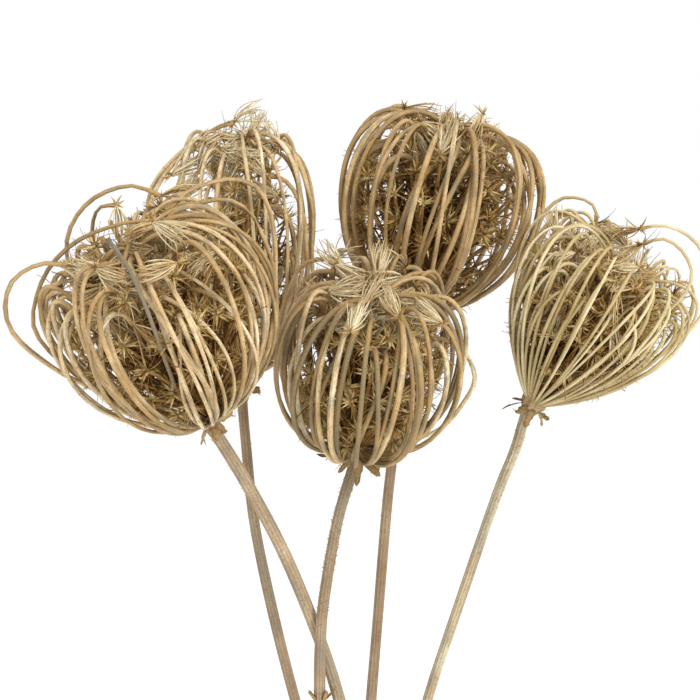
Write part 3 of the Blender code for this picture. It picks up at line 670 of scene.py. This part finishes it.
# Umbellet star: yellow in the middle where the stalks join, brown at the points.
umbellet_star = plant_finish(
    "umbellet_star", tones=("#664619", "#9a7234", "#cfa75c", "#ecd598"), tip="#a9844b", tip_share=0.5,
    mould="#7d6238", freckle_and_groove_shade="#4c341a", mould_share=0.2, freckle_mm=1.6, freckle_share=0.25, roughness=0.7,
)
# Broken stalks deep inside the head, painted dark brown as the shade there, darkest near its middle.
shade_brown_tangle = plant_finish(
    "shade_brown_tangle", tones=("#452d0e", "#70491b", "#9a6f30"), tip="#6b481a", tip_share=0.3,
    mould="#4e3a20", freckle_and_groove_shade="#2c1c0c", freckle_mm=1.6, roughness=0.75,
)
# Bracts: thin brown leaf, brittle and torn.
brown_leaf = plant_finish(
    "brittle_brown_leaf", tones=("#86693f", "#a38557", "#bea071"), tip="#886a3c", tip_share=0.4,
    mould="#7b6a4a", freckle_and_groove_shade="#54401f", mould_share=0.4, freckle_share=0.5, ribs=4, roughness=0.75, bump=0.4,
)
# The dried styles that stand out of the crown like dark hairs.
dark_style = plant_finish(
    "dried_style", tones=("#3f2e1e", "#65503a"), tip="#2e2116", tip_share=0.6,
    mould="#5a4936", freckle_and_groove_shade="#1d140c", freckle_mm=1.0,
)
print("finishes in all:", len(bpy.data.materials))

# %% [markdown]
# ## Glass vase
#
# The vase is blown soda glass: one wall with an outside, a rounded lip and an inside, and a thick heavy floor.
# A turned form is its profile spun round the axis. The Screw modifier can do that, but here every ring of the
# vase is a row of a grid, so the code that closes a strand closes the vase as well. The wall's real thickness
# matters, because clear glass shows its inside.


# %% Vase
def eased(height):
    """The vase's outer radius: between two places, radius + (next - radius) * s * s * (3 - 2 s)."""
    heights, radii = np.array(VASE_SHAPE, dtype=float).T
    number = np.clip(np.searchsorted(heights, height, side="right") - 1, 0, len(heights) - 2)
    share = np.clip((height - heights[number]) / (heights[number + 1] - heights[number]), 0, 1)
    return radii[number] + (radii[number + 1] - radii[number]) * share * share * (3 - 2 * share)


def rounded(centre, radius, first, last, steps):
    """Points of an arc of a profile: centre + radius * (cos(a), sin(a))."""
    angle = np.radians(np.linspace(first, last, steps))
    return np.stack([centre[0] + radius * np.cos(angle), centre[1] + radius * np.sin(angle)], axis=-1)


WALL = 2.6
FLOOR = 8.0
INSIDE_CORNER = 5.0  # radius where the wall meets the floor
VASE_SIDES = 96
TOP, neck = VASE_SHAPE[-1]
lip = WALL / 2
heights = np.linspace(2.2, TOP - lip, 44)
outer_wall = np.stack([eased(heights), heights], axis=-1)
inner_heights = np.linspace(TOP - lip, FLOOR + INSIDE_CORNER, 42)
inner_wall = np.stack([eased(inner_heights) - WALL, inner_heights], axis=-1)
inner_foot = inner_wall[-1, 0]
profile = np.concatenate([
    [(0.01, 1.2), (18, 1.1), (23, 0.5)],
    rounded((26.5, 1.2), 1.2, 230, 270, 4),
    rounded((29.0, 2.0), 2.0, 270, 350, 7),
    outer_wall,
    rounded((neck - lip, TOP - lip), lip, 15, 165, 9),
    inner_wall,
    rounded((inner_foot - INSIDE_CORNER, FLOOR + INSIDE_CORNER), INSIDE_CORNER, -10, -90, 9),
    [(12, FLOOR), (0.01, FLOOR)],
])
turn = np.arange(VASE_SIDES) * math.tau / VASE_SIDES
level = np.repeat(profile[:, 1:], VASE_SIDES, axis=1)
rings = np.stack([profile[:, :1] * np.cos(turn), profile[:, :1] * np.sin(turn), level], axis=-1)
corners = np.concatenate([rings.reshape(-1, 3), [(0, 0, profile[0, 1]), (0, 0, profile[-1, 1])]])
faces = sheet_faces(1, len(profile), VASE_SIDES)
vase = (corners, *faces, strand_uvs(1, len(profile), VASE_SIDES), np.zeros(len(corners)))
print("vase, mm high and wide:", TOP, round(2 * profile[:, 0].max(), 1))

# %% Glass
# Iron in the sand tints thick soda glass green; a wall this thin keeps only a breath of it.
glass, tree, output = new_finish("clear_soda_glass")
clear = {"Base Color": linear("#f3fbf7"), "Roughness": 0.02, "IOR": 1.52, "Transmission Weight": 1.0}
shader = add(tree, "BsdfPrincipled", clear)
tree.links.new(shader.outputs[0], output.inputs["Surface"])
make_piece("glass_vase", [vase], glass, ["vase"])

# %% [markdown]
# ## Stems
#
# The stems are ribbed, a little knobbly and never straight. The path is the same smooth curve that the solid
# stem follows. A bump could draw the ribs, but would leave the outline smooth, so they come from a ring whose
# radius swings in and out nine times on the way round, and a weaker second wave makes them narrower. At the
# top the stem widens into the receptacle, which the rays spring from, and short stiff bristles make the last
# stretch below it rough.


# %% Stem paths
def each_flower(seed):
    """Name, numbers and a random generator of its own for each flower, always seeded alike."""
    for number, (name, flower) in enumerate(FLOWERS.items()):
        yield name, flower, np.random.default_rng(seed + number)


STEM_RADIUS = 2.15
SEAT_GAP = 0.3  # mm between a stem's foot and the floor
SPAN_STEPS = 11
RECEPTACLE_STEPS = (5, 4, 3, 2, 1, 0, -0.8, -1.4)  # mm below the base of the head
RECEPTACLE_RADII = (2.25, 2.5, 2.9, 3.4, 3.9, 4.3, 4.4, 3.9, 2.4)


def stem_path(flower):
    """The curve through a stem's points, then close steps through its receptacle."""
    base = np.array(flower["base"], dtype=float)
    axis = unit(np.subtract(flower["crown"], flower["base"]))
    points = np.array([*flower["stem"], base - axis * 6], dtype=float)
    rise = unit(points[1] - points[0])
    points[0, 2] = FLOOR + SEAT_GAP + STEM_RADIUS * math.hypot(rise[0], rise[1])
    top = base - axis * np.array(RECEPTACLE_STEPS)[:, None]
    return np.concatenate([through(points, base, SPAN_STEPS), top])


print("steps of a stem:", len(stem_path(FLOWERS["centre"])))

# %% Stems
RIBS = 9
ROUGH_SPAN = slice(-34, -9)  # the steps of a stem's path that carry bristles
ROUGH_PLACES = 400

for number, (name, flower, chance) in enumerate(each_flower(100)):
    path = stem_path(flower)
    run = np.arange(len(path))
    knobs = 1 + 0.025 * np.sin(run * 0.11 + number) + 0.012 * np.sin(run * 0.37 + 2 * number)
    radius = STEM_RADIUS * flower["girth"] * knobs
    radius[-len(RECEPTACLE_RADII):] = RECEPTACLE_RADII
    angle = np.arange(RIBS * 4) * math.tau / (RIBS * 4)
    section = 0.97 + 0.055 * np.cos(RIBS * angle) + 0.015 * np.cos(2 * RIBS * angle)
    across = np.array([[0.9, 0.1, 0.2]])
    stalk = bundle(path[None], radius[None], len(angle), flower["stalk"], across, section)

    rough = path[ROUGH_SPAN]
    many = flower["bristles"]
    roots = evenly(rough, ROUGH_PLACES)[chance.integers(0, ROUGH_PLACES, many)]
    away = unit(np.cross(chance.normal(size=(many, 3)), unit(rough[-1] - rough[0])))
    skin = STEM_RADIUS * flower["girth"] - 0.15
    bristles = spray_paths(
        chance, roots + away * skin, away + 0.3 * UP, 1, length=(0.5, 0.95), lean=(0, 20), turn=(0, 10), steps=3
    )
    rough_hair = bundle(bristles, np.linspace(0.15, 0.05, 3), 3, 1.1)
    make_piece(f"ribbed_stem_{name}", [stalk, rough_hair], stem_stalk, [f"stem_{name}"])

# %% [markdown]
# ## Bracts
#
# Under each head sits a whorl of leafy bracts. They were feathery once, and dried to brown chips that stand
# out or hang down. Flat cards would vanish when seen edge-on, so each is a flattened strand whose width jumps
# where it tore, and each keeps a narrow lobe.

# %% Bracts
BRACTS = 9
BRACT_STEPS = 12
BRACT_DEPTH = 2.6  # mm below the base of the head
BLADE = ((0, 0.15, 0.85, 1), (0.8, 1, 0.8, 0.15))  # share along a bract, share of its width
BLADE_FLATNESS = 0.14  # thickness as a share of width
LOBE_FLATNESS = 0.35
LOBE_STEPS = 6

for name, flower, chance in each_flower(200):
    azimuths = (np.arange(BRACTS) + chance.uniform(-0.3, 0.3, BRACTS)) * math.tau / BRACTS
    roots = outward(azimuths) * ROOT_RADIUS - UP * BRACT_DEPTH
    droop = outward(azimuths) - 0.35 * UP
    leaves = spray_paths(
        chance, roots, droop, 1, length=flower["bracts"], lean=(0, 30), turn=(-60, 50), steps=BRACT_STEPS, wander=0.2
    )
    torn = np.repeat(chance.uniform(0.7, 1.25, (BRACTS, 4)), BRACT_STEPS // 4, axis=1)
    blade = (0.9 + 0.06 * flower["bracts"][1]) * torn * np.interp(np.linspace(0, 1, BRACT_STEPS), *BLADE)
    flat = np.cross(np.gradient(leaves, axis=1)[:, 5], UP) + 0.25 * chance.normal(size=(BRACTS, 3))
    ahead = unit(np.gradient(leaves, axis=1)[:, 6])
    lobes = spray_paths(
        chance, leaves[:, 6], ahead + unit(flat), 1, length=(1.8, 3.6), lean=(0, 20), turn=(-20, 30),
        steps=LOBE_STEPS, wander=0.25,
    )
    tone = chance.uniform(0.1, 0.9, BRACTS)
    make_piece(f"torn_bracts_{name}", [
        bundle(in_world(flower, leaves), blade, 8, tone, flat @ head_turn(flower), flatness=BLADE_FLATNESS),
        bundle(in_world(flower, lobes), np.linspace(0.5, 0.1, LOBE_STEPS), 5, tone, flatness=LOBE_FLATNESS),
    ], brown_leaf, [f"bracts_{name}"])

# %% [markdown]
# ## Leaf base
#
# One stem still carries the torn base of a leaf, at the node low down where it comes out of the vase. It split
# into four chips that stand up round the stem, made like the bracts.

# %% Leaf base
NODE_HEIGHT = 206  # mm
CHIP_RADII = (1.0, 1.3, 1.5, 1.3, 1.4, 1.1, 0.7, 0.2)

chance = np.random.default_rng(210)
path = stem_path(FLOWERS["centre"])
node = path[np.argmin(abs(path[:, 2] - NODE_HEIGHT))]
azimuths = np.radians([170.0, 215.0, 325.0, 10.0])
roots = node + outward(azimuths) * 1.6
chips = spray_paths(
    chance, roots, outward(azimuths) + 1.2 * UP, 1, length=(4, 6), lean=(0, 20), turn=(-40, 20),
    steps=len(CHIP_RADII), wander=0.2,
)
made = bundle(chips, np.array(CHIP_RADII), 8, 0.5, np.cross(outward(azimuths), UP), flatness=0.16)
make_piece("leaf_base_centre", [made], brown_leaf)

# %% [markdown]
# ## The cage
#
# The outer rays carry the look of the whole object: a nest of smooth stalks that run side by side, cross here
# and there and leave gaps. Copies of one ray turned round the axis would make a birdcage, so no two are alike:
# they stand at uneven distances, sway and turn a little round the head, the short ones bulge less and hook over
# lower down, and at the crown some stop short while others cross to the far side. A head can also lean: on its
# low side all rays end low, and those of its far side reach over to meet them. The strays are listed one by one.

# %% Rays of the cage
RAY_STEPS = 26
# Share along a ray, and share of its radius there.
RAY_TAPER = ((0, 0.08, 0.3, 0.75, 0.94, 1), (1.1, 0.92, 0.98, 1.08, 0.9, 1.3))
SHORT_EVERY = 4
NARROWING = 0.55  # a ray that ends lower also bulges less, by this share
NO_SIDE = (0, 0)


def facing(azimuths, side):
    """A side's amount times the cosine of the angle to it, and nothing on the far half."""
    return side[1] * np.maximum(np.cos(azimuths - math.radians(side[0])), 0)


def ray_rows(flower, chance):
    """Azimuth, width, rise and tone of each ray, of which every fourth is short."""
    count = np.arange(flower["rays"])
    much = chance.uniform(0.5, 1.0, len(count))
    little = flower["ragged"] * chance.random(len(count)) ** 2
    short = flower["short"] * np.where(count % SHORT_EVERY == SHORT_EVERY - 1, much, little)
    azimuths = (count + 0.5 + 0.9 * vary(count, "azimuth")) * math.tau / len(count)
    tone = chance.uniform(*flower["bleached"], len(count))
    short = np.maximum(short, facing(azimuths, flower.get("low_side", NO_SIDE)))
    return azimuths, 1 - NARROWING * short, 1 - short, tone


def ray_paths(flower, azimuths, width, rise, chance):
    """Bezier curves of the cage, each plus swing * sin(pi t) * sin(a t + b) sideways. A lower ray ends further
    from the middle, but never past 0.6 of the belly."""
    many = len(azimuths)
    differ = {kind: size * vary(np.arange(many), kind) for kind, size in JITTER.items()}
    gather = np.minimum(0.62 + differ["gather"] + 1.4 * (1 - rise), 0.6 * flower["belly"] / flower["gather"])
    gather = gather - facing(azimuths, flower.get("far_side", NO_SIDE))
    twist = flower["sway"] * chance.normal(size=many)
    handles = cage_handles(flower, azimuths, differ, width, rise, gather, twist)
    t = np.linspace(0, 1, RAY_STEPS)[None]
    sideways = np.stack([-np.sin(azimuths), np.cos(azimuths), 0 * azimuths], axis=-1)
    waves = np.sin(chance.uniform(2, 6, many)[:, None] * t + chance.uniform(0, 6, many)[:, None])
    swing = chance.uniform(0.4, 2.4, many)[:, None] * np.sin(math.pi * t) * waves
    return bezier(handles, t) + swing[..., None] * sideways[:, None]


def ray_radii(flower, tone, chance):
    """Taper * knobs * a ray's own size, where knobs is 1 + 0.05 * sin(9 t + 6 tone) * sin(23 t + 40 tone)."""
    t = np.linspace(0, 1, RAY_STEPS)[None]
    knobs = 1 + 0.05 * np.sin(9 * t + 6 * tone[:, None]) * np.sin(23 * t + 40 * tone[:, None])
    return flower["thick"] * np.interp(t, *RAY_TAPER) * knobs * chance.uniform(0.8, 1.15, len(tone))[:, None]


print("rays:", sum(flower["rays"] + len(flower["strays"]) for flower in FLOWERS.values()))

# %% Outer rays
crowns = {}

for name, flower, chance in each_flower(300):
    azimuths, width, rise, tone = ray_rows(flower, chance)
    paths = ray_paths(flower, azimuths, width, rise, chance)
    for stray in flower["strays"]:
        route = evenly(through(stray["route"], stray["route"][-1], 8), RAY_STEPS)
        paths = np.concatenate([paths, in_head(flower, route)[None]])
    whole = np.array([True] * len(tone) + ["snapped" not in stray for stray in flower["strays"]])
    tone = np.concatenate([tone, [stray["tone"] for stray in flower["strays"]]])
    radii = ray_radii(flower, tone, chance)
    crowns[name] = (paths[whole, -1], unit(paths[whole, -1] - paths[whole, -3]))

    finish = ray_cream if name == "right" else ray_straw
    rays = bundle(in_world(flower, paths[whole]), radii[whole], 6, tone[whole])
    make_piece(f"cage_rays_{name}", [rays], finish, [f"outer_rays_{name}"])
    if not whole.all():
        snapped = bundle(in_world(flower, paths[~whole]), radii[~whole], 6, tone[~whole])
        make_piece(f"snapped_ray_{name}", [snapped], ray_grey, [f"outer_rays_{name}"])

# %% [markdown]
# ## Crown
#
# Each outer ray ends in an umbellet, which follows the ray inwards. Its seed stalks closed when they dried: they
# bow out and come together again, so that they look like a little fist or a tassel. Round each ray's end stand
# short pointed bracteoles, loose tufts fill the middle of the crown, and a few dark styles are left. The largest
# fists give each crown its face, so they are listed one by one. All of these are sprays, and only their numbers
# differ.

# %% Sizes and places in the crown
HAIRS = 16  # in an umbellet
FIST_HAIRS = 30
TUFT_HAIRS = 20
POINTS = 8
STYLES = 18
HAIR_RADII = np.array([0.23, 0.24, 0.24, 0.23, 0.19, 0.11])
HAIR_STEPS = len(HAIR_RADII)
POINT_RADII = np.array([0.42, 0.32, 0.04])
GOLDEN = math.pi * (3 - math.sqrt(5))


def tuft_beds(flower, chance):
    """Places spread over the crown like seeds in a sunflower, at radius * sqrt((k + 1/2) / n) and k golden
    angles, and the directions of the tufts there."""
    order = np.arange(flower["tufts"])
    level = outward(order * GOLDEN)
    reach = 1.3 * flower["gather"] * np.sqrt((order + 0.5) / len(order))
    height = head_height(flower) + chance.uniform(-8, -1, len(order))
    beds = level * reach[:, None] + UP * height[:, None]
    return beds, 0.25 * UP - 0.4 * level + 0.6 * chance.normal(size=beds.shape)


print("fists and tufts:", sum(len(flower["fists"]) + flower["tufts"] for flower in FLOWERS.values()))

# %% Crown umbellets and styles
for name, flower, chance in each_flower(400):
    pale = flower["pale"]
    tips, heading = crowns[name]
    axes = unit(heading + flower["upright"] * UP + 0.33 * chance.normal(size=tips.shape))
    hairs = spray_paths(
        chance, tips, axes, HAIRS, length=(8, 14), lean=(6, 40), turn=(5, 65), steps=HAIR_STEPS,
        wander=0.12, sweep=0.3,
    )
    knots, aims = np.array(flower["fists"], dtype=float).transpose(1, 0, 2)
    knots = in_head(flower, knots)
    aims = aims @ head_turn(flower).T
    fists = spray_paths(
        chance, knots, aims, FIST_HAIRS, length=(10, 15), lean=(4, 38), turn=(5, 60), steps=HAIR_STEPS,
        wander=0.1, sweep=0.1,
    )
    ends = np.concatenate([tips, knots])
    points = spray_paths(
        chance, ends, np.concatenate([axes, aims]), POINTS, length=(2.5, 5), lean=(60, 170), turn=(-10, 30), steps=3,
        wander=0.1,
    )
    tone = np.repeat(chance.uniform(0.45, 1.0, len(tips)), HAIRS) + chance.uniform(-0.3, 0.15, len(hairs)) + pale
    beds, lifts = tuft_beds(flower, chance)
    tufts = spray_paths(
        chance, beds, lifts, TUFT_HAIRS, length=(7, 12), lean=(5, 45), turn=(0, 80), steps=HAIR_STEPS,
        wander=0.15, sweep=0.35,
    )
    make_piece(f"crown_umbellets_{name}", [
        bundle(in_world(flower, tufts), HAIR_RADII, 3, pale + chance.uniform(0.4, 1.0, len(tufts))),
        bundle(in_world(flower, fists), 1.05 * HAIR_RADII, 3, pale + chance.uniform(0.5, 1.0, len(fists))),
        bundle(in_world(flower, hairs), HAIR_RADII, 3, tone),
        bundle(in_world(flower, points), POINT_RADII, 4, chance.uniform(0, 0.5, len(points))),
    ], bleached_hair)

    chosen = chance.integers(0, len(tips), STYLES)
    leans = UP + 0.5 * chance.normal(size=(STYLES, 3))
    styles = spray_paths(
        chance, tips[chosen], leans, 2, length=(4, 10), lean=(5, 60), turn=(-20, 60), steps=HAIR_STEPS, wander=0.3
    )
    dark = bundle(in_world(flower, styles), np.linspace(0.15, 0.05, HAIR_STEPS), 3, 0.5)
    make_piece(f"dark_styles_{name}", [dark], dark_style)

# %% [markdown]
# ## Filling
#
# Behind the cage the head is full of shorter rays, and each of those ends in a star: a yellow centre with
# pointed bracteoles all round it and finer seed stalks between them. Copies of one star would catch the eye, so
# each star is a spray of its own. Golden-angle steps round the axis spread them without rows. What is left
# between them is a tangle of broken stalks, painted dark brown as the shade deep in the head, darker nearer its
# middle.

# %% Places of the stars
STALK_SHARES = ((0.25, 0.45, 0.8, 1), (0.55, 0.84, 0.92, 0.7))  # share along a ray, share of the way out to it
STALK_STEPS = 8


def star_tips(flower, azimuths, chance):
    """Points of an even cage at evenly spread shares of its rays, drawn in towards the base of the head."""
    many = len(azimuths)
    still = {kind: np.zeros(many) for kind in JITTER}
    shares = 0.25 + 0.73 * ((np.arange(many) + 0.5) * EVEN_STEPS["spread"] % 1)
    cage = bezier(cage_handles(flower, azimuths, still, gather=0.5), shares[:, None])[:, 0]
    return cage * (np.interp(shares, *STALK_SHARES) * chance.uniform(0.76, 1.0, many))[:, None]


def inner_stalks(azimuths, tips):
    """Curves (1-s)^2 hub + 2 (1-s) s middle + s^2 tip, where the middle point lifts each stalk up at first."""
    hub = outward(azimuths) * 1.6 + UP * 0.5
    middle = 0.45 * tips + UP * 0.12 * np.linalg.norm(tips, axis=1)[:, None]
    s = np.linspace(0, 1, STALK_STEPS)[:, None]
    return (1 - s) ** 2 * hub[:, None] + 2 * (1 - s) * s * middle[:, None] + s ** 2 * tips[:, None]


print("stars:", sum(flower["stars"] for flower in FLOWERS.values()))

# %% Inner rays, stars and tangle
SPIKES = 12  # in a star
STAR_HAIRS = 17
BROKEN = 9  # stalks of the tangle, for each star
SPIKE_RADII = np.array([0.6, 0.4, 0.05])

for name, flower, chance in each_flower(500):
    pale = flower["pale"]
    azimuths = np.arange(flower["stars"]) * GOLDEN
    tips = star_tips(flower, azimuths, chance)
    centre = UP * 0.4 * head_height(flower)
    axes = unit(unit(tips - centre) + 0.35 * UP + 0.3 * chance.normal(size=tips.shape))
    spikes = spray_paths(
        chance, tips, axes, SPIKES, length=(3.5, 6.5), lean=(20, 105), turn=(-10, 25), steps=3, wander=0.08
    )
    hairs = spray_paths(
        chance, tips, axes, STAR_HAIRS, length=(5, 9), lean=(10, 110), turn=(-30, 60), steps=4, wander=0.3
    )
    broken = BROKEN * len(tips)
    depth = chance.integers(0, len(tips), broken)
    share = chance.uniform(0.15, 0.85, broken)
    knots = centre + (tips[depth] - centre) * share[:, None]
    tangle = spray_paths(
        chance, knots, chance.normal(size=(broken, 3)), 1, length=(8, 15), lean=(0, 60), turn=(-120, 120), steps=5,
        wander=0.5,
    )
    stalks = in_world(flower, inner_stalks(azimuths, tips))
    make_piece(f"star_umbellets_{name}", [
        bundle(stalks, 0.75 * flower["thick"] * np.linspace(1.0, 0.85, STALK_STEPS), 5, 0.35),
        bundle(in_world(flower, spikes), SPIKE_RADII, 3, pale + chance.uniform(0.7, 1.2, len(spikes))),
        bundle(in_world(flower, hairs), np.linspace(0.19, 0.09, 4), 3, pale + chance.uniform(0.2, 0.85, len(hairs))),
    ], umbellet_star, [f"inner_rays_{name}"])
    # Stalks nearer the middle of the head get lower tones, so a darker brown: painted shade.
    tone = share + chance.uniform(-0.2, 0.3, broken)
    tangle_in_shade = bundle(in_world(flower, tangle), np.linspace(0.34, 0.16, 5), 3, tone)
    make_piece(f"shaded_inner_tangle_{name}", [tangle_in_shade], shade_brown_tangle, [f"inner_rays_{name}"])

# %% [markdown]
# ## Studio
#
# A white floor and a white surround, as for a cut-out product picture. One large soft light from the upper
# right gives the strands a lit side, and a weaker one from the left keeps the far side readable.

# %% Floor
FLOOR_REACH = 3  # m
floor_mesh = bpy.data.meshes.new("studio_floor")
floor_corners = [(x * FLOOR_REACH, y * FLOOR_REACH, 0) for x, y in ((-1, -1), (1, -1), (1, 1), (-1, 1))]
floor_mesh.from_pydata(floor_corners, [], [(0, 1, 2, 3)])
floor = bpy.data.objects.new("studio_floor", floor_mesh)
bpy.context.scene.collection.objects.link(floor)
# Painted board: white, and rough enough to show no reflection of the vase.
paint, tree, output = new_finish("white_matt_board")
shader = add(tree, "BsdfPrincipled", {"Base Color": (1.0, 1.0, 1.0, 1.0), "Roughness": 0.9})
tree.links.new(shader.outputs[0], output.inputs["Surface"])
floor_mesh.materials.append(paint)
floor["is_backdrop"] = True
print("floor, m:", 2 * FLOOR_REACH)


# %% Lights and surround
def softbox(name, place, target, size, watts):
    """A square area light that faces its target."""
    light = bpy.data.lights.new(name, "AREA")
    light.energy = watts
    light.size = size
    lamp = bpy.data.objects.new(name, light)
    lamp.location = place
    lamp.rotation_euler = (Vector(target) - Vector(place)).to_track_quat("-Z", "Y").to_euler()
    bpy.context.scene.collection.objects.link(lamp)


HEADS = (0, 0, 0.33)  # m
softbox("key_softbox", place=(0.8, -1.1, 1.1), target=HEADS, size=0.6, watts=17)
softbox("fill_softbox", place=(-1.1, -0.9, 0.6), target=HEADS, size=0.9, watts=3)
world = bpy.data.worlds.new("white_surround")
world.use_nodes = True
world.node_tree.nodes["Background"].inputs["Color"].default_value = (1, 1, 1, 1)
world.node_tree.nodes["Background"].inputs["Strength"].default_value = 1.0
bpy.context.scene.world = world
bpy.context.scene.view_settings.view_transform = "Standard"
print("lights:", len(bpy.data.lights))

# %% [markdown]
# ## Last
#
# The boxes of the solids and of the dressed object are put side by side. The dressed object
# may not outgrow its solids.

# %% Size and finish
model_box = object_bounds()
boxes = {"cad": cad_box, "visual": model_box}
sizes = {which: [[float(value) for value in corner] for corner in box] for which, box in boxes.items()}
print("box of the dressed object, mm:", [[round(value * 1000, 1) for value in corner] for corner in model_box])
